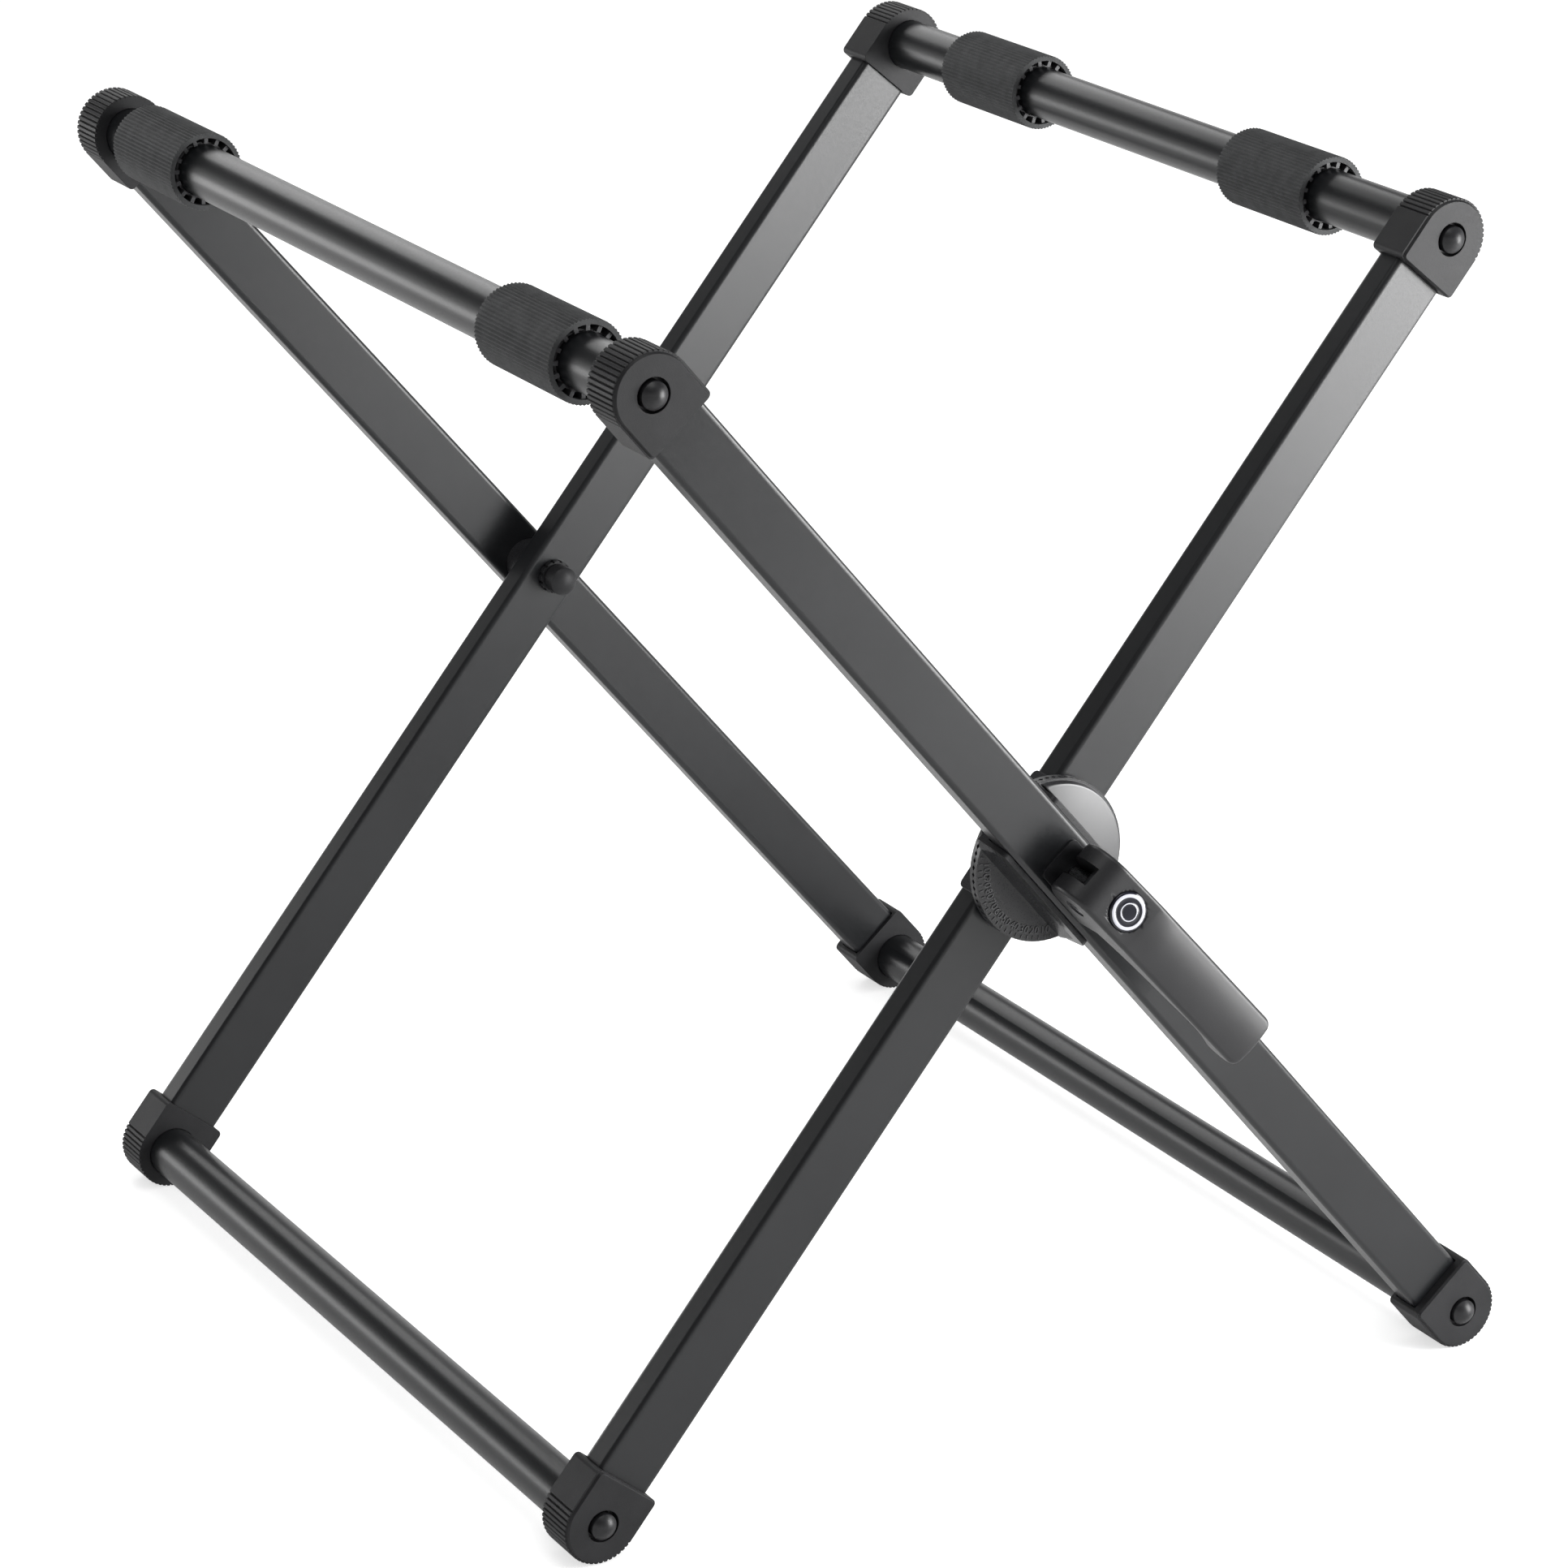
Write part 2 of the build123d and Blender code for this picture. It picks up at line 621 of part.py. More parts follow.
badge_section = Plane(origin=badge_plane.offset(-badge_sink).origin, x_dir=badge_plane.x_dir,
                      z_dir=badge_plane.x_dir.cross(badge_up))
with BuildPart() as lever_badge:
    with BuildSketch(badge_section):
        with BuildLine():
            Polyline((crown_flat, badge_thick + badge_crown), (0, badge_thick + badge_crown),
                     (0, 0), (badge_radius, 0), (badge_radius, badge_thick))
            crown_arc(badge_radius, badge_thick, badge_thick + badge_crown)
        make_face()
    revolve(axis=Axis(badge_section.origin, badge_up))
finish(lever_badge.part, "lever_badge")


# Rear pivot: a flat headed bolt, a spacer between the legs, and a nut under a moulded cover
rear_face = face_view(1, outer_half, facing=1)
rear_seat = face_view(1, inner_leg_back - body_gap, facing=-1)
rear_length = (rear_face.origin - rear_seat.origin).length
rear_end = -rear_length - washer_thick - rear_nut_height - rear_end_past
with BuildPart() as rear_pivot_bolt:
    with BuildSketch(turning_plane(rear_face.origin, 1)):
        Polygon((0, rear_head_height), (0, rear_end), (rear_thread / 2, rear_end),
                (rear_thread / 2, 0), (rear_head_dia / 2, 0),
                (rear_head_dia / 2, rear_head_height - rear_head_bevel),
                (rear_head_dia / 2 - rear_head_bevel, rear_head_height), align=None)
    revolve(axis=Axis(rear_face.origin, (0, 1, 0)))
finish(rear_pivot_bolt.part, "rear_pivot_bolt")

with BuildPart() as rear_spacer:
    with BuildSketch(face_view(1, outer_leg_back)):
        Circle(spacer_radius)
        Circle(rear_thread / 2 + hole_gap, mode=Mode.SUBTRACT)
    extrude(amount=hinge_gap - body_gap)
finish(rear_spacer.part, "rear_spacer")

with BuildPart() as rear_washer:
    with BuildSketch(rear_seat):
        Circle(rear_washer_radius)
        Circle(rear_thread / 2 + hole_gap, mode=Mode.SUBTRACT)
    extrude(amount=washer_thick)
finish(rear_washer.part, "rear_washer")

with BuildPart() as rear_nut:
    with BuildSketch(rear_seat.offset(washer_thick)):
        RegularPolygon(rear_nut_flats / 2, 6, major_radius=False)
        Circle(rear_thread / 2 + running_gap, mode=Mode.SUBTRACT)
    extrude(amount=rear_nut_height)
finish(rear_nut.part, "rear_nut")

skirt_inside = rear_washer_radius + seat_gap
skirt_radius = skirt_inside + cover_skirt_wall
with BuildPart() as rear_nut_cover:
    with BuildSketch(turning_plane(rear_seat.origin, -1)):
        with BuildLine():
            Polyline((crown_flat, cover_height), (0, cover_height), (0, 0), (skirt_radius, 0),
                     (skirt_radius, cover_skirt),
                     (cover_radius - cover_groove, cover_skirt),
                     (cover_radius - cover_groove, cover_skirt + 1),
                     (cover_radius, cover_skirt + 1), (cover_radius, cover_height - cover_dome))
            crown_arc(cover_radius, cover_height - cover_dome, cover_height)
        make_face()
    revolve(axis=Axis(rear_seat.origin, rear_seat.z_dir))
    with BuildSketch(rear_seat):
        Circle(skirt_inside)
    extrude(amount=washer_thick + seat_gap, mode=Mode.SUBTRACT)
    with BuildSketch(rear_seat):
        RegularPolygon(rear_nut_flats / 2 + seat_gap, 6, major_radius=False)
    extrude(amount=washer_thick + rear_nut_height + rear_end_past + body_gap, mode=Mode.SUBTRACT)
    with BuildSketch(rear_seat):
        with PolarLocations(skirt_radius, cover_notches):
            Rectangle(notch_size, notch_size)
    extrude(amount=cover_skirt, mode=Mode.SUBTRACT)
finish(rear_nut_cover.part, "rear_nut_cover")
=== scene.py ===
# A folding drum stand of black tube, on a pale sweep under soft studio light.
import json
import math

import bmesh
import bpy
from mathutils import Matrix, Vector
from mathutils.bvhtree import BVHTree


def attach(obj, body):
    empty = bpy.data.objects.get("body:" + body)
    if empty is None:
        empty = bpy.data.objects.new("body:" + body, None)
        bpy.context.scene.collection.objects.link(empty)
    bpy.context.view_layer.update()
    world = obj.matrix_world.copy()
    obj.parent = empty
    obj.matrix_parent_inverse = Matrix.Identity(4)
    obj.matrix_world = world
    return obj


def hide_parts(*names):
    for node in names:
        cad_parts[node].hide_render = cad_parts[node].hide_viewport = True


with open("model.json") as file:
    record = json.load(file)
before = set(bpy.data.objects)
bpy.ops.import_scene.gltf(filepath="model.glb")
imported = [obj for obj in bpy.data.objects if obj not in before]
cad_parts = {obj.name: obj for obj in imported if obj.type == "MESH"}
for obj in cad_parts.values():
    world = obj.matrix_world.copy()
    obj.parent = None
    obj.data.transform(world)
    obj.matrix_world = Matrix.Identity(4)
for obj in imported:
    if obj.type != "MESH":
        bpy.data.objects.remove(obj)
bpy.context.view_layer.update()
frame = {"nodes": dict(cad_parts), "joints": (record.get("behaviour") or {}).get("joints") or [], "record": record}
nodes = frame["nodes"]
foldJoint = next(joint for joint in frame["joints"] if joint["name"] == "frame_fold")
pivot = Vector(foldJoint["pos_m"])  # where the two front legs cross
legSlope = math.radians(50)      # of the outer legs from the floor, at the stored opening of 80 degrees
down = Vector((math.cos(legSlope), 0, -math.sin(legSlope)))       # along the outer legs, to their feet
rightward = Vector((math.sin(legSlope), 0, math.cos(legSlope)))   # across them, to the right
front = Vector((0, -1, 0))
print("frame loaded,", len(nodes), "CAD nodes")


def linearColour(hexText):
    channels = [int(hexText[i:i + 2], 16) / 255 for i in (1, 3, 5)]
    return [c / 12.92 if c <= 0.04045 else ((c + 0.055) / 1.055) ** 2.4 for c in channels] + [1.0]


def addNode(tree, kind, settings=None, inputs=None):
    node = tree.nodes.new(kind)
    for name, value in (settings or {}).items():
        setattr(node, name, value)
    for name, value in (inputs or {}).items():
        socket = node.inputs[name]
        if isinstance(value, bpy.types.NodeSocket):
            tree.links.new(value, socket)
        else:
            socket.default_value = value
    return node


def setRamp(node, stops):
    ramp = node.color_ramp
    while len(ramp.elements) < len(stops):
        ramp.elements.new(0.5)
    for element, (place, level) in zip(ramp.elements, stops):
        element.position = place
        element.color = (level, level, level, 1)


# Camera, where the photograph was taken from
camera = {
    "place": (-1.1901, -1.9856, 1.1387),
    "right": (0.8583, -0.5131, 0.0),
    "up": (0.1833, 0.3066, 0.9340),
    "lens": 118.09,
    "sensor": 36.0,
    "clip": (0.05, 60),
}
cameraData = bpy.data.cameras.new("photoCamera")
cameraData.lens = camera["lens"]
cameraData.sensor_width = camera["sensor"]
cameraData.clip_start, cameraData.clip_end = camera["clip"]
cameraObject = bpy.data.objects.new("photoCamera", cameraData)
bpy.context.scene.collection.objects.link(cameraObject)
right, up = Vector(camera["right"]).normalized(), Vector(camera["up"]).normalized()
turn = Matrix((right, up, right.cross(up))).transposed().to_4x4()
cameraObject.matrix_world = Matrix.Translation(camera["place"]) @ turn
bpy.context.scene.camera = cameraObject

# Studio: a pale floor, a pale sweep round it, and four soft lamps
studio = {
    "floorHalf": 12.0,
    "floorDrop": 0.0005,      # under the feet, so that the two faces never lie in one plane
    "floorColour": "#e6e6e6",
    "floorLift": 0.62,        # added on camera rays, so that the lit floor reads as white
    "mirroredLift": 0.2,      # the same for what gloss reflects
    "worldLight": 0.5,
    # what gloss reflects, from straight down (0) over the horizon (0.5) to straight up (1)
    "sweepStops": ((0.0, 0.5), (0.5, 1.0), (0.58, 1.0), (0.66, 0.14), (0.85, 0.12), (1.0, 0.5)),
    "lampAim": (0, 0, 0.3),
    "lamps": {
        "frontRight": {"place": (1.07, -1.08, 0.47), "size": (0.7, 0.9), "watts": 28.0},
        "overhead": {"place": (-0.3, -0.5, 2.6), "size": (1.4, 1.4), "watts": 14.0},
        "backLeft": {"place": (-1.5, 2.0, 0.3), "size": (2.4, 0.55), "watts": 12.0},
        "backHigh": {"place": (0.52, 1.94, 1.6), "size": (1.6, 1.0), "watts": 11.0},
    },
}

floorMesh = bpy.data.meshes.new("floor")
half = studio["floorHalf"]
floorCorners = [(-half, -half, 0), (half, -half, 0), (half, half, 0), (-half, half, 0)]
floorMesh.from_pydata(floorCorners, [], [(0, 1, 2, 3)])
floor = bpy.data.objects.new("floor", floorMesh)
bpy.context.scene.collection.objects.link(floor)
floor.location.z = -studio["floorDrop"]
floorMaterial = bpy.data.materials.new("paleFloor")
floorMaterial.use_nodes = True
tree = floorMaterial.node_tree
tree.nodes.clear()
lightPath = addNode(tree, "ShaderNodeLightPath")
paint = addNode(tree, "ShaderNodeBsdfDiffuse", inputs={"Color": linearColour(studio["floorColour"])})
mirroredRay = addNode(tree, "ShaderNodeMath", {"operation": "MAXIMUM"},
                      {0: lightPath.outputs["Is Glossy Ray"], 1: lightPath.outputs["Is Transmission Ray"]})
mirroredLevel = addNode(tree, "ShaderNodeMath", {"operation": "MULTIPLY"},
                        {0: mirroredRay.outputs[0], 1: studio["mirroredLift"]})
seenLevel = addNode(tree, "ShaderNodeMath", {"operation": "MULTIPLY_ADD"},
                    {0: lightPath.outputs["Is Camera Ray"], 1: studio["floorLift"],
                     2: mirroredLevel.outputs[0]})
lift = addNode(tree, "ShaderNodeEmission", inputs={"Strength": seenLevel.outputs[0]})
both = addNode(tree, "ShaderNodeAddShader", inputs={0: paint.outputs[0], 1: lift.outputs[0]})
addNode(tree, "ShaderNodeOutputMaterial", inputs={"Surface": both.outputs[0]})
floorMesh.materials.append(floorMaterial)

world = bpy.data.worlds.new("sweep")
world.use_nodes = True
tree = world.node_tree
tree.nodes.clear()
lightPath = addNode(tree, "ShaderNodeLightPath")
direction = addNode(tree, "ShaderNodeTexCoord")
height = addNode(tree, "ShaderNodeSeparateXYZ", inputs={0: direction.outputs["Generated"]})
band = addNode(tree, "ShaderNodeMapRange",
               inputs={"Value": height.outputs["Z"], "From Min": -1.0, "From Max": 1.0})
sweepLevel = addNode(tree, "ShaderNodeValToRGB", inputs={"Fac": band.outputs[0]})
setRamp(sweepLevel, studio["sweepStops"])
seen = addNode(tree, "ShaderNodeMath", {"operation": "MAXIMUM"},
               {0: lightPath.outputs["Is Glossy Ray"], 1: lightPath.outputs["Is Transmission Ray"]})
plain = addNode(tree, "ShaderNodeBackground",
                inputs={"Color": (1, 1, 1, 1), "Strength": studio["worldLight"]})
mirrored = addNode(tree, "ShaderNodeBackground", inputs={"Color": sweepLevel.outputs[0], "Strength": 1.0})
shown = addNode(tree, "ShaderNodeBackground", inputs={"Color": (1, 1, 1, 1), "Strength": 1.0})
reflected = addNode(tree, "ShaderNodeMixShader",
                    inputs={0: seen.outputs[0], 1: plain.outputs[0], 2: mirrored.outputs[0]})
whole = addNode(tree, "ShaderNodeMixShader",
                inputs={0: lightPath.outputs["Is Camera Ray"], 1: reflected.outputs[0], 2: shown.outputs[0]})
addNode(tree, "ShaderNodeOutputWorld", inputs={"Surface": whole.outputs[0]})
bpy.context.scene.world = world
bpy.context.scene.view_settings.view_transform = "Standard"

for lampName, lamp in studio["lamps"].items():
    lampData = bpy.data.lights.new(lampName, "AREA")
    lampData.shape = "RECTANGLE"
    lampData.size, lampData.size_y = lamp["size"]
    lampData.energy = lamp["watts"]
    lampObject = bpy.data.objects.new(lampName, lampData)
    lampObject.visible_camera = False    # a lamp never hides the stand in a view from its side
    bpy.context.scene.collection.objects.link(lampObject)
    aim = Vector(studio["lampAim"]) - Vector(lamp["place"])
    lampTurn = aim.to_track_quat("-Z", "Y").to_matrix().to_4x4()
    lampObject.matrix_world = Matrix.Translation(lamp["place"]) @ lampTurn
print("camera and studio made")

# Finishes. Sizes are in millimetres; a grain too fine to show is drawn as coarse as it needs to show.
finishes = {
    # black polyester powder, baked on steel tube: an even satin skin with a faint orange peel
    "satinPowderCoat": {"colour": "#141517", "patch": "#1a1b1d", "patchMm": 60, "roughness": (0.28, 0.34),
                        "grainMm": 1.1, "grainDeep": 0.008, "edgeMm": 0.5, "ior": 1.5},
    # glass filled nylon boots, spark eroded mould: fine even grain, matte
    "mouldedNylon": {"colour": "#18181a", "patch": "#1f1f21", "patchMm": 14, "roughness": (0.48, 0.58),
                     "grainMm": 0.45, "grainDeep": 0.03, "edgeMm": 0.35, "ior": 1.4},
    # the same nylon with a smoother mould face: satin
    "satinNylon": {"colour": "#222224", "patch": "#29292b", "patchMm": 18, "roughness": (0.26, 0.34),
                   "grainMm": 0.5, "grainDeep": 0.015, "edgeMm": 0.3, "ior": 1.53},
    # the same nylon where the mould was smoothest: its colour is painted paler than the rest of the plate, a
    # painted sheen on top of its broad pale shine
    "paintedSheenNylon": {"colour": "#2c2c2e", "patch": "#323234", "patchMm": 20, "roughness": (0.34, 0.4),
                      "grainMm": 0.5, "grainDeep": 0.004, "edgeMm": 0.3, "ior": 1.8},
    # lever moulding: matte where the hand goes, with a broad soft shine
    "leverNylon": {"colour": "#1b1b1d", "patch": "#222224", "patchMm": 25, "roughness": (0.34, 0.42),
                   "grainMm": 0.4, "grainDeep": 0.02, "edgeMm": 0.45, "ior": 1.53},
    # polypropylene cores: a little paler and waxy
    "waxyPolypropylene": {"colour": "#3a3a3c", "patch": "#444446", "patchMm": 8, "roughness": (0.45, 0.55),
                          "grainMm": 0.6, "grainDeep": 0.01, "edgeMm": 0.2, "ior": 1.49},
    # vulcanised rubber: dull, with a dusty bloom
    "ribbedRubber": {"colour": "#353637", "patch": "#404142", "patchMm": 6, "roughness": (0.66, 0.8),
                     "grainMm": 0.5, "grainDeep": 0.03, "edgeMm": 0.15, "ior": 1.52},
    # blackened steel bolts, oiled and wiped: black with a soft shine
    "blackedSteel": {"colour": "#1b1b1d", "patch": "#222224", "patchMm": 5, "roughness": (0.34, 0.42),
                     "grainMm": 0.8, "grainDeep": 0.004, "edgeMm": 0.3, "ior": 1.45},
    # the same nylon on the raised numbers and marks, shiny, with its colour painted paler as a painted highlight
    "paintedHighlightNylon": {"colour": "#4a4a4c", "patch": "#535355", "patchMm": 3, "roughness": (0.2, 0.28),
                    "grainMm": 0.5, "grainDeep": 0.004, "edgeMm": 0.15, "ior": 1.6},
    # enamelled disc under clear lacquer: near black with a cold tint
    "darkEnamel": {"colour": "#15161f", "patch": "#1b1c27", "patchMm": 7, "roughness": (0.08, 0.13),
                   "grainMm": 0.9, "grainDeep": 0.002, "edgeMm": 0.1, "ior": 1.52},
    # pale enamel of the badge's rings
    "paleEnamel": {"colour": "#d2d3dc", "patch": "#dcdde4", "patchMm": 5, "roughness": (0.12, 0.2),
                   "grainMm": 0.9, "grainDeep": 0.002, "edgeMm": 0.1, "ior": 1.52},
}
noiseSpan = {"cloud": (0.35, 0.65), "grain": (0.3, 0.7)}  # part of each noise's values that is used
drawnGrain = {"stretch": (1, 0.08, 1), "edgeMm": 0.2}    # streaks run along Y, as the pins and bolts do
metals = {
    # polished chrome plate on the barrel pin
    "chromePlate": {"colour": "#dadbdd", "dull": "#b9babd", "roughness": (0.06, 0.14),
                    "streakMm": 0.35, "deep": 0.003},
    # zinc plated steel, faintly drawn
    "zincPlate": {"colour": "#c4c6c8", "dull": "#a3a5a8", "roughness": (0.22, 0.34),
                  "streakMm": 0.3, "deep": 0.006},
    # turned steel, left plain
    "turnedSteel": {"colour": "#9c9d9f", "dull": "#7f8082", "roughness": (0.30, 0.42),
                    "streakMm": 0.25, "deep": 0.008},
}


def startMaterial(name):
    material = bpy.data.materials.new(name)
    material.use_nodes = True
    material.node_tree.nodes.clear()
    return material, material.node_tree


def makeFinish(name, look):
    material, tree = startMaterial(name)
    place = addNode(tree, "ShaderNodeTexCoord").outputs["Object"]
    cloud = addNode(tree, "ShaderNodeTexNoise",
                    inputs={"Vector": place, "Scale": 1000 / look["patchMm"], "Detail": 3.0})
    grain = addNode(tree, "ShaderNodeTexNoise",
                    inputs={"Vector": place, "Scale": 1000 / look["grainMm"], "Detail": 2.0})
    shade = addNode(tree, "ShaderNodeMapRange", {"clamp": True},
                    {"Value": cloud.outputs["Fac"], "From Min": noiseSpan["cloud"][0],
                     "From Max": noiseSpan["cloud"][1]})
    colour = addNode(tree, "ShaderNodeMix", {"data_type": "RGBA"}, {0: shade.outputs[0]})
    colour.inputs[6].default_value = linearColour(look["colour"])
    colour.inputs[7].default_value = linearColour(look["patch"])
    rough = addNode(tree, "ShaderNodeMapRange", {"clamp": True},
                    {"Value": grain.outputs["Fac"], "From Min": noiseSpan["grain"][0],
                     "From Max": noiseSpan["grain"][1],
                     "To Min": look["roughness"][0], "To Max": look["roughness"][1]})
    soft = addNode(tree, "ShaderNodeBevel", {"samples": 4}, {"Radius": look["edgeMm"] / 1000})
    bump = addNode(tree, "ShaderNodeBump",
                   inputs={"Height": grain.outputs["Fac"], "Distance": look["grainDeep"] / 1000,
                           "Strength": 1.0, "Normal": soft.outputs[0]})
    shader = addNode(tree, "ShaderNodeBsdfPrincipled",
                     inputs={"Base Color": colour.outputs[2], "Roughness": rough.outputs[0],
                             "Normal": bump.outputs[0], "IOR": look["ior"]})
    addNode(tree, "ShaderNodeOutputMaterial", inputs={"Surface": shader.outputs[0]})
    return material


def makeMetal(name, look):
    material, tree = startMaterial(name)
    place = addNode(tree, "ShaderNodeTexCoord").outputs["Object"]
    drawn = addNode(tree, "ShaderNodeMapping", inputs={"Vector": place, "Scale": drawnGrain["stretch"]})
    streak = addNode(tree, "ShaderNodeTexNoise",
                     inputs={"Vector": drawn.outputs[0], "Scale": 1000 / look["streakMm"], "Detail": 3.0})
    colour = addNode(tree, "ShaderNodeMix", {"data_type": "RGBA"}, {0: streak.outputs["Fac"]})
    colour.inputs[6].default_value = linearColour(look["colour"])
    colour.inputs[7].default_value = linearColour(look["dull"])
    rough = addNode(tree, "ShaderNodeMapRange", {"clamp": True},
                    {"Value": streak.outputs["Fac"], "From Min": noiseSpan["grain"][0],
                     "From Max": noiseSpan["grain"][1],
                     "To Min": look["roughness"][0], "To Max": look["roughness"][1]})
    soft = addNode(tree, "ShaderNodeBevel", {"samples": 4}, {"Radius": drawnGrain["edgeMm"] / 1000})
    bump = addNode(tree, "ShaderNodeBump",
                   inputs={"Height": streak.outputs["Fac"], "Distance": look["deep"] / 1000,
                           "Strength": 1.0, "Normal": soft.outputs[0]})
    shader = addNode(tree, "ShaderNodeBsdfPrincipled",
                     inputs={"Base Color": colour.outputs[2], "Roughness": rough.outputs[0],
                             "Normal": bump.outputs[0], "Metallic": 1.0})
    addNode(tree, "ShaderNodeOutputMaterial", inputs={"Surface": shader.outputs[0]})
    return material


materials = {name: makeFinish(name, look) for name, look in finishes.items()}
materials.update({name: makeMetal(name, look) for name, look in metals.items()})

slotFinish = {
    "tube_paint": "satinPowderCoat", "cap_plastic": "mouldedNylon", "hinge_plastic": "satinNylon",
    "lever_plastic": "leverNylon", "core_plastic": "waxyPolypropylene", "rest_rubber": "ribbedRubber",
    "black_bolt": "blackedSteel", "chrome_pin": "chromePlate", "bright_steel": "zincPlate",
    "plug_steel": "turnedSteel", "badge_face": "darkEnamel",
}
for subpart in frame["record"]["subparts"]:
    node = nodes[subpart["node"]]
    node.data.materials.clear()
    node.data.materials.append(materials[slotFinish[subpart["material_slot"]]])
print("finishes made,", len(materials))


def keepMesh(name, mesh, body):
    piece = bpy.data.objects.new(name, mesh)
    bpy.context.scene.collection.objects.link(piece)
    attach(piece, body)
    return piece


def joinMeshes(name, parts):
    corners, faces = [], []
    for mesh in parts:
        start = len(corners)
        corners += [v.co[:] for v in mesh.vertices]
        faces += [[start + i for i in polygon.vertices] for polygon in mesh.polygons]
    joined = bpy.data.meshes.new(name)
    joined.from_pydata(corners, [], faces)
    return joined


def turnedMesh(name, profile, origin, axis, across, steps):
    # profile: (radius, height, material index of the band up to the next point)
    corners, faces, kinds = [], [], []
    other = axis.cross(across)
    for radius, rise, _ in profile:
        for i in range(steps):
            angle = 2 * math.pi * i / steps
            outward = across * math.cos(angle) + other * math.sin(angle)
            corners.append(origin + axis * rise + outward * radius)
    for ring in range(len(profile) - 1):
        for i in range(steps):
            j = (i + 1) % steps
            faces.append((ring * steps + i, ring * steps + j, (ring + 1) * steps + j, (ring + 1) * steps + i))
            kinds.append(profile[ring][2])
    last = (len(profile) - 1) * steps
    faces += [tuple(range(last, last + steps)), tuple(reversed(range(steps)))]
    kinds += [profile[-1][2], profile[0][2]]
    mesh = bpy.data.meshes.new(name)
    mesh.from_pydata([corner[:] for corner in corners], [], faces)
    for polygon, kind in zip(mesh.polygons, kinds):
        polygon.material_index = kind
        polygon.use_smooth = len(polygon.vertices) == 4
    return mesh


# Lever: its broad face swells across the width, so that its shine falls off to one side
leverShell = {
    "swell": 0.0016,           # at the middle of its width
    "swellFrom": 0.012,        # along the lever from the pin, where the swelling starts
    "swellTo": 0.034,          # and where it is full
    "cutsAcross": 20,
    "cutsAlong": 8,
    "frontFacing": 0.25,       # least share of the front in a face's direction for it to swell
    "sharpDegrees": 35,
    "weld": 0.00001,
    "cutWeld": 0.000001,
}


def swellAlong(place):
    reach = leverShell["swellTo"] - leverShell["swellFrom"]
    share = ((place - pivot).dot(down) - leverShell["swellFrom"]) / reach
    share = min(max(share, 0), 1)
    return leverShell["swell"] * share * share * (3 - 2 * share)


def leverShellMesh():
    shell = bmesh.new()
    shell.from_mesh(nodes["clamp_lever"].data)
    bmesh.ops.remove_doubles(shell, verts=shell.verts, dist=leverShell["weld"])
    spread = [vertex.co.dot(rightward) for vertex in shell.verts]
    low, wide = min(spread), max(spread) - min(spread)
    cuts = [(rightward, low + wide * i / leverShell["cutsAcross"])
            for i in range(1, leverShell["cutsAcross"])]
    start, reach = leverShell["swellFrom"], leverShell["swellTo"] - leverShell["swellFrom"]
    cuts += [(down, pivot.dot(down) + start + reach * i / leverShell["cutsAlong"])
             for i in range(leverShell["cutsAlong"] + 1)]
    for direction, distance in cuts:
        bmesh.ops.bisect_plane(shell, geom=shell.verts[:] + shell.edges[:] + shell.faces[:],
                               dist=leverShell["cutWeld"], plane_co=direction * distance, plane_no=direction)
    shell.normal_update()
    moves = []
    for vertex in shell.verts:
        if any(face.normal.dot(front) > leverShell["frontFacing"] for face in vertex.link_faces):
            off = 2 * (vertex.co.dot(rightward) - low) / wide - 1
            moves.append((vertex, front * swellAlong(vertex.co) * (1 - off * off)))
    for vertex, move in moves:
        vertex.co += move
    for face in shell.faces:
        face.smooth = True
    mesh = bpy.data.meshes.new("crownedLever")
    shell.to_mesh(mesh)
    shell.free()
    mesh.set_sharp_from_angle(angle=math.radians(leverShell["sharpDegrees"]))
    return mesh


crownedLever = keepMesh("crownedLever", leverShellMesh(), "clamp_lever")
crownedLever.data.materials.append(materials["leverNylon"])
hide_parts("clamp_lever")
print("lever made,", len(crownedLever.data.polygons), "faces")

# Badge on the lever: a crowned enamel disc with plain pale rings
badge = {
    "radius": 0.0090,
    "thick": 0.0016,
    "crown": 0.0007,
    "noseSlope": 12.0,         # the lever's front there, against the leg
    "rings": ((0.0081, 0.0066), (0.0042, 0.0037)),   # outer and inner radius of each pale ring
    "inlay": 0.00006,          # rings stand this proud
    "ringSlant": 0.00008,      # width of a ring's sloping sides
    "edge": 0.0003,            # bevel round the disc
    "middleRadii": (0.0028, 0.0018, 0.0009, 0.0002),
    "footDepth": 0.0001,
    "steps": 96,
    "seat": 0.55,              # share of the lever's swelling that the disc sits at
}
tilt = math.radians(badge["noseSlope"])
badgeUp = (front * math.cos(tilt) - down * math.sin(tilt)).normalized()
places = [v.co for v in nodes["lever_badge"].data.vertices]
lowest = min(co.dot(badgeUp) for co in places)
# the middle of the CAD disc's foot, found along the badge's own directions
foot = [co for co in places if co.dot(badgeUp) < lowest + badge["footDepth"]]
alongLever = badgeUp.cross(rightward)
badgeFoot = sum(((max(co.dot(d) for co in foot) + min(co.dot(d) for co in foot)) / 2 * d
                 for d in (rightward, alongLever)), badgeUp * lowest)
badgeFoot += front * swellAlong(badgeFoot) * badge["seat"]


def crownAt(radius):
    return badge["thick"] + badge["crown"] * (1 - (radius / badge["radius"]) ** 2)


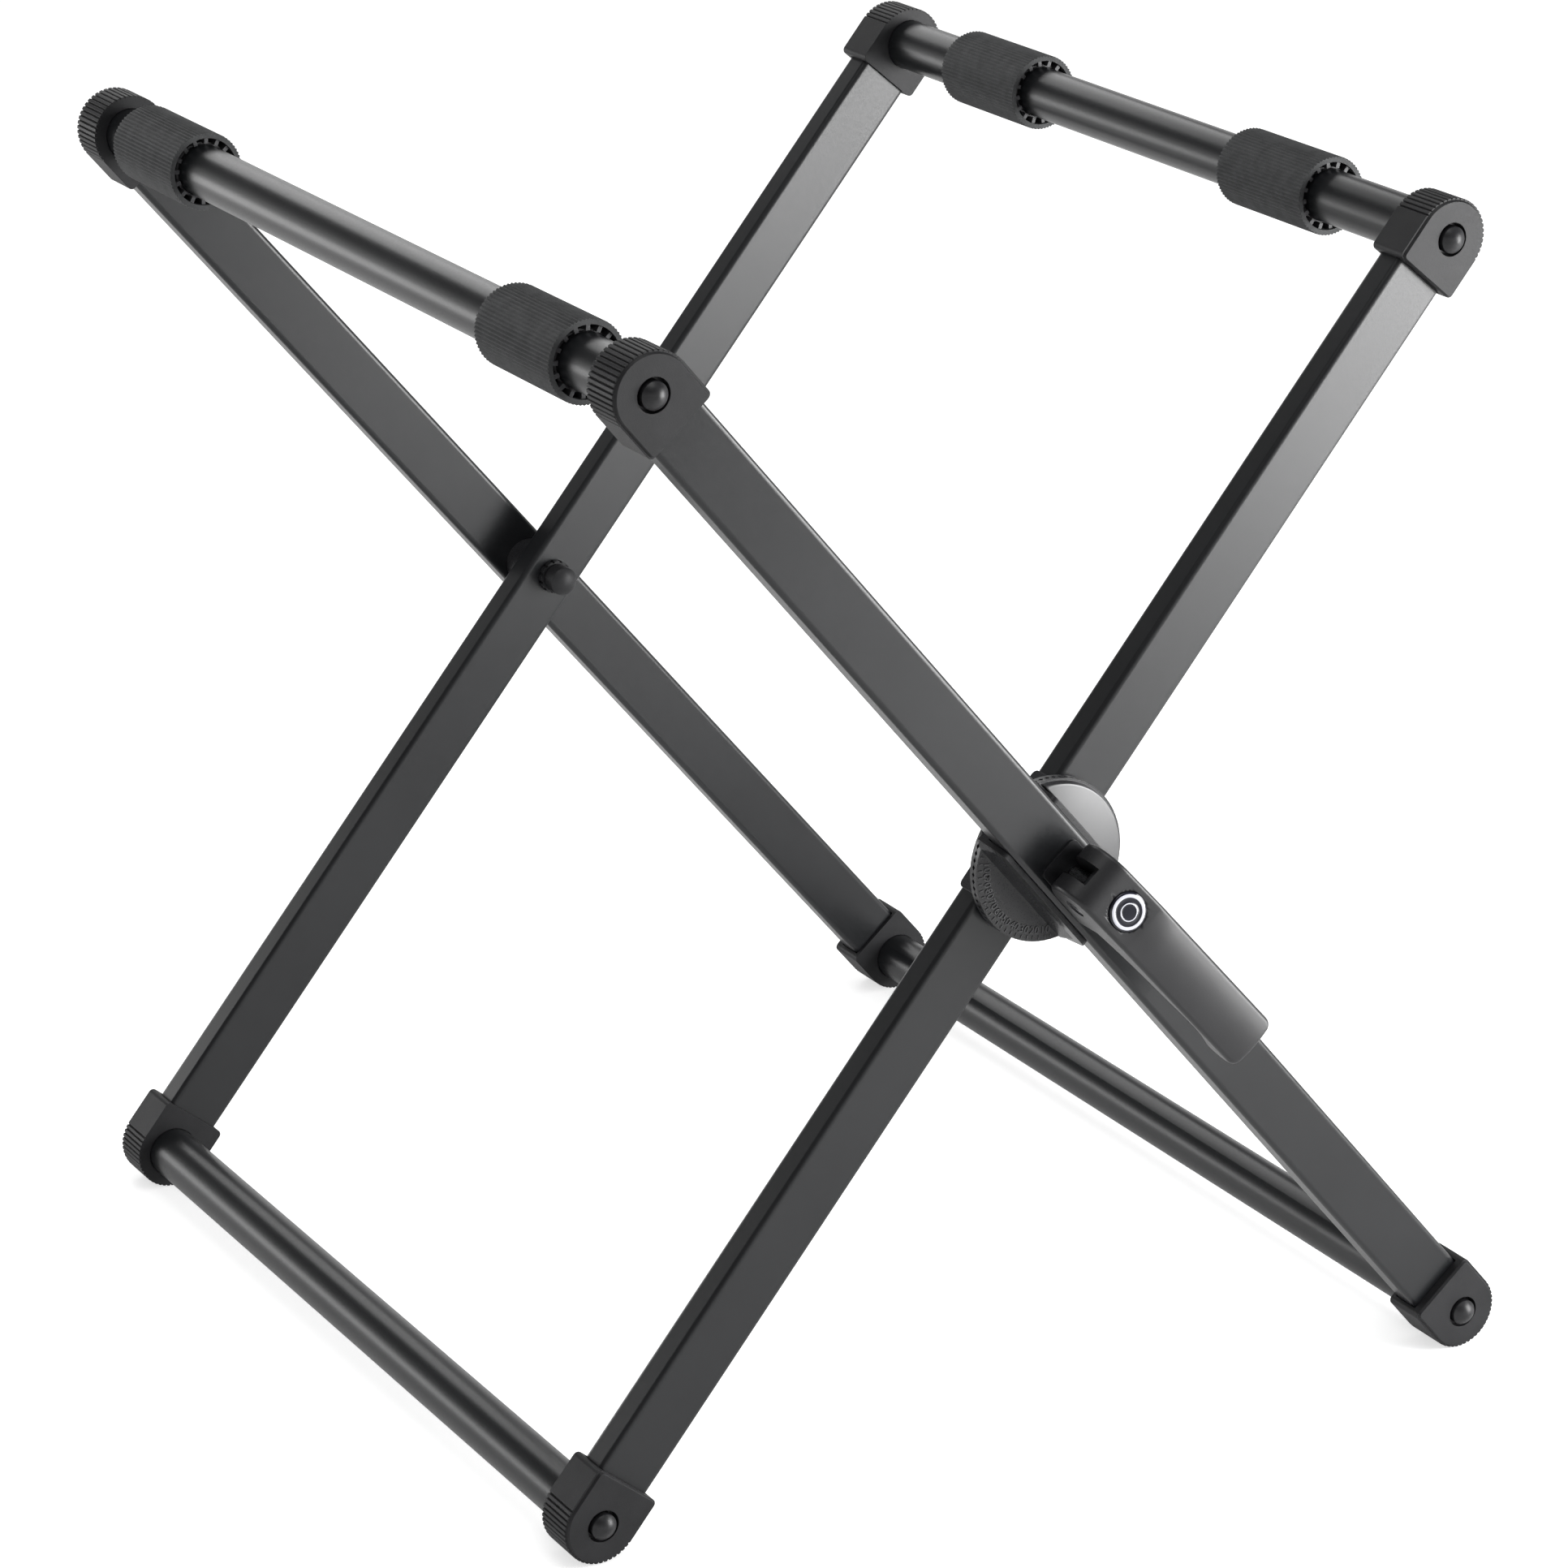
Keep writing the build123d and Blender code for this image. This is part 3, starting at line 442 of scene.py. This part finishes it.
edge, inlay, slant = badge["edge"], badge["inlay"], badge["ringSlant"]
profile = [(badge["radius"], 0, 0), (badge["radius"], badge["thick"] - edge, 0),
           (badge["radius"] - edge, badge["thick"], 0)]
for outer, inner in badge["rings"]:
    middle = (outer + inner) / 2
    profile += [(outer, crownAt(outer), 1), (outer - slant, crownAt(outer) + inlay, 1),
                (middle, crownAt(middle) + inlay, 1), (inner + slant, crownAt(inner) + inlay, 1),
                (inner, crownAt(inner), 0)]
profile += [(radius, crownAt(radius), 0) for radius in badge["middleRadii"]]
badgeMesh = turnedMesh("leverBadge", profile, badgeFoot, badgeUp, rightward, badge["steps"])
badgeMesh.materials.append(materials["darkEnamel"])
badgeMesh.materials.append(materials["paleEnamel"])
leverBadge = keepMesh("leverBadge", badgeMesh, "clamp_lever")
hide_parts("lever_badge")
print("badge made,", len(badgeMesh.polygons), "faces")

# Domed skin of the hinge's smooth half disc, which shines more than the rest of the plate, its colour painted
# paler as a painted sheen
halfDisc = {
    "radius": 0.0366,
    "chord": 0.0202,           # straight edge, from the leg's centre line
    "faceY": pivot.y - 0.2443,  # front face of the plate's raised half
    "domePerMetre": 2.2,       # it falls off from the pivot's axis as the square of the distance
    "rimRise": 0.0004,
    "edgeDrop": 0.0003,
    "skirt": 0.0002,           # sunk into the plate, so that no gap shows round it
    "rows": 14,
    "firstRing": 0.02,         # the innermost ring of faces, as a share of the way out
    "lastRing": 0.975,         # from here the edge is rounded off
    "columns": 56,
}


def halfDiscMesh():
    centre = Vector((pivot.x, halfDisc["faceY"], pivot.z))
    reach = math.acos(halfDisc["chord"] / halfDisc["radius"])
    middle = rightward * (halfDisc["chord"] + halfDisc["radius"]) / 2
    rim = []
    for i in range(halfDisc["columns"] + 1):
        angle = reach * (2 * i / halfDisc["columns"] - 1)
        rim.append((rightward * math.cos(angle) + down * math.sin(angle)) * halfDisc["radius"])
    start, end = rim[-1], rim[0]
    chordSteps = halfDisc["columns"] // 2
    rim += [start.lerp(end, i / chordSteps) for i in range(1, chordSteps)]
    corners, faces = [], []
    rings = [i / halfDisc["rows"] for i in range(1, halfDisc["rows"])]
    rings = [halfDisc["firstRing"]] + rings + [halfDisc["lastRing"], 1.0]
    for share in rings:
        for place in rim:
            spot = middle.lerp(place, share)
            fall = halfDisc["radius"] ** 2 - spot.length_squared
            lift = halfDisc["rimRise"] + halfDisc["domePerMetre"] * fall
            corners.append(centre + spot + front * (lift - (halfDisc["edgeDrop"] if share == 1.0 else 0)))
    corners += [centre + place - front * halfDisc["skirt"] for place in rim]
    count = len(rim)
    for ring in range(len(rings)):
        for i in range(count):
            j = (i + 1) % count
            faces.append((ring * count + i, ring * count + j, (ring + 1) * count + j, (ring + 1) * count + i))
    faces.append(tuple(range(count)))
    faces.append(tuple(reversed(range(len(rings) * count, (len(rings) + 1) * count))))
    mesh = bpy.data.meshes.new("hingeHalfDisc")
    mesh.from_pydata([corner[:] for corner in corners], [], faces)
    fixed = bmesh.new()
    fixed.from_mesh(mesh)
    bmesh.ops.recalc_face_normals(fixed, faces=fixed.faces)
    fixed.to_mesh(mesh)
    fixed.free()
    mesh.polygons.foreach_set("use_smooth", [True] * len(mesh.polygons))
    return mesh


hingeHalfDisc = keepMesh("hingeHalfDisc", halfDiscMesh(), "outer_frame")
hingeHalfDisc.data.materials.append(materials["paintedSheenNylon"])
print("half disc made,", len(hingeHalfDisc.data.polygons), "faces")

# Angle scale on the outer hinge plate: raised numbers every ten degrees, with marks at the rim
angleScale = {
    "values": (10, 20, 30, 40, 50, 60, 70, 80, 90, 100),
    "zeroAngle": -82.5,       # where 0 would stand, turning clockwise from there
    "perTen": 10.1,
    "middleRadius": 0.0330,
    "digitHeight": 0.0037,
    "rise": 0.0004,
    "markRadius": 0.0364,
    "markSize": (0.0004, 0.0008, 0.0018),
    "marksEvery": 5,
    "markCount": 22,
    "lookFrom": 0.4,          # well in front of the plate
    "capShare": 0.7,          # a digit's height as a share of the font's size
    "curveSteps": 3,
    "levelAt": 50,            # the marks take the plate's level at this number
}
plateMesh = nodes["outer_hinge_plate"].data
plateTree = BVHTree.FromPolygons([v.co[:] for v in plateMesh.vertices],
                                 [polygon.vertices[:] for polygon in plateMesh.polygons])


def onPlate(x, z):
    # the plate's face there, seen from the front
    return plateTree.ray_cast(Vector((x, pivot.y - angleScale["lookFrom"], z)), Vector((0, 1, 0)))[0]


def raisedNumber(value, angle):
    curve = bpy.data.curves.new("number", "FONT")
    curve.body = str(value)
    curve.size = angleScale["digitHeight"] / angleScale["capShare"]
    curve.align_x, curve.align_y = "CENTER", "CENTER"
    curve.extrude = angleScale["rise"]
    curve.resolution_u = angleScale["curveSteps"]
    text = bpy.data.objects.new("number", curve)
    bpy.context.scene.collection.objects.link(text)
    bpy.context.view_layer.update()
    mesh = bpy.data.meshes.new_from_object(text.evaluated_get(bpy.context.evaluated_depsgraph_get()))
    bpy.data.objects.remove(text)
    outward = Vector((math.cos(angle), 0, math.sin(angle)))
    upward = -outward                    # tops point to the pivot
    across = upward.cross(front)
    place = Vector((pivot.x, 0, pivot.z)) + outward * angleScale["middleRadius"]
    place = onPlate(place.x, place.z)
    mesh.transform(Matrix.Translation(place) @ Matrix((across, upward, front)).transposed().to_4x4())
    return mesh


numbers = [raisedNumber(value, math.radians(angleScale["zeroAngle"] - angleScale["perTen"] * value / 10))
           for value in angleScale["values"]]
scaleNumbers = keepMesh("scaleNumbers", joinMeshes("scaleNumbers", numbers), "outer_frame")
# the numbers and marks are painted paler than the plate: a painted highlight
scaleNumbers.data.materials.append(materials["paintedHighlightNylon"])


def scaleMarkTree():
    tree = bpy.data.node_groups.new("scaleMarks", "GeometryNodeTree")
    for name, kind in (("Count", "NodeSocketInt"), ("Start", "NodeSocketFloat"),
                       ("Pitch", "NodeSocketFloat"), ("Radius", "NodeSocketFloat"),
                       ("Size", "NodeSocketVector"), ("Centre", "NodeSocketVector"),
                       ("Finish", "NodeSocketMaterial")):
        tree.interface.new_socket(name, in_out="INPUT", socket_type=kind)
    tree.interface.new_socket("Geometry", in_out="OUTPUT", socket_type="NodeSocketGeometry")
    given = addNode(tree, "NodeGroupInput").outputs
    points = addNode(tree, "GeometryNodeMeshLine", inputs={"Count": given["Count"], "Offset": (0, 0, 0)})
    index = addNode(tree, "GeometryNodeInputIndex")
    step = addNode(tree, "ShaderNodeMath", {"operation": "MULTIPLY_ADD"},
                   {0: index.outputs[0], 1: given["Pitch"], 2: given["Start"]})
    turnBy = addNode(tree, "ShaderNodeCombineXYZ", inputs={"Y": step.outputs[0]})
    bar = addNode(tree, "GeometryNodeMeshCube", inputs={"Size": given["Size"]})
    outwards = addNode(tree, "ShaderNodeCombineXYZ", inputs={"Z": given["Radius"]})
    placed = addNode(tree, "GeometryNodeTransform",
                     inputs={"Geometry": bar.outputs["Mesh"], "Translation": outwards.outputs[0]})
    marks = addNode(tree, "GeometryNodeInstanceOnPoints",
                    inputs={"Points": points.outputs[0], "Instance": placed.outputs[0],
                            "Rotation": turnBy.outputs[0]})
    solid = addNode(tree, "GeometryNodeRealizeInstances", inputs={0: marks.outputs[0]})
    centred = addNode(tree, "GeometryNodeTransform",
                      inputs={"Geometry": solid.outputs[0], "Translation": given["Centre"]})
    painted = addNode(tree, "GeometryNodeSetMaterial",
                      inputs={"Geometry": centred.outputs[0], "Material": given["Finish"]})
    addNode(tree, "NodeGroupOutput", inputs={0: painted.outputs[0]})
    return tree


def growMesh(name, tree, values):
    seed = bpy.data.objects.new(name, bpy.data.meshes.new(name))
    bpy.context.scene.collection.objects.link(seed)
    modifier = seed.modifiers.new("grow", "NODES")
    modifier.node_group = tree
    for item in tree.interface.items_tree:
        if item.in_out == "INPUT" and item.name in values:
            modifier[item.identifier] = values[item.name]
    bpy.context.view_layer.update()
    mesh = bpy.data.meshes.new_from_object(seed.evaluated_get(bpy.context.evaluated_depsgraph_get()))
    mesh.name = name
    bpy.data.objects.remove(seed)
    return mesh


markAngle = math.radians(angleScale["zeroAngle"] - angleScale["perTen"] * angleScale["levelAt"] / 10)
markPlace = onPlate(pivot.x + math.cos(markAngle) * angleScale["middleRadius"],
                    pivot.z + math.sin(markAngle) * angleScale["middleRadius"])
marks = growMesh("scaleMarks", scaleMarkTree(), {
    "Count": angleScale["markCount"],
    # an instance starts on +Z and turns about Y, so an angle in XZ becomes 90 degrees less that angle
    "Start": math.radians(90 - angleScale["zeroAngle"] + angleScale["marksEvery"]),
    "Pitch": math.radians(angleScale["marksEvery"] * angleScale["perTen"] / 10),
    "Radius": angleScale["markRadius"],
    "Size": angleScale["markSize"],
    "Centre": (pivot.x, markPlace.y, pivot.z),
    "Finish": materials["paintedHighlightNylon"],
})
scaleMarks = keepMesh("scaleMarks", marks, "outer_frame")
print("angle scale made,", len(scaleNumbers.data.polygons) + len(scaleMarks.data.polygons), "faces")
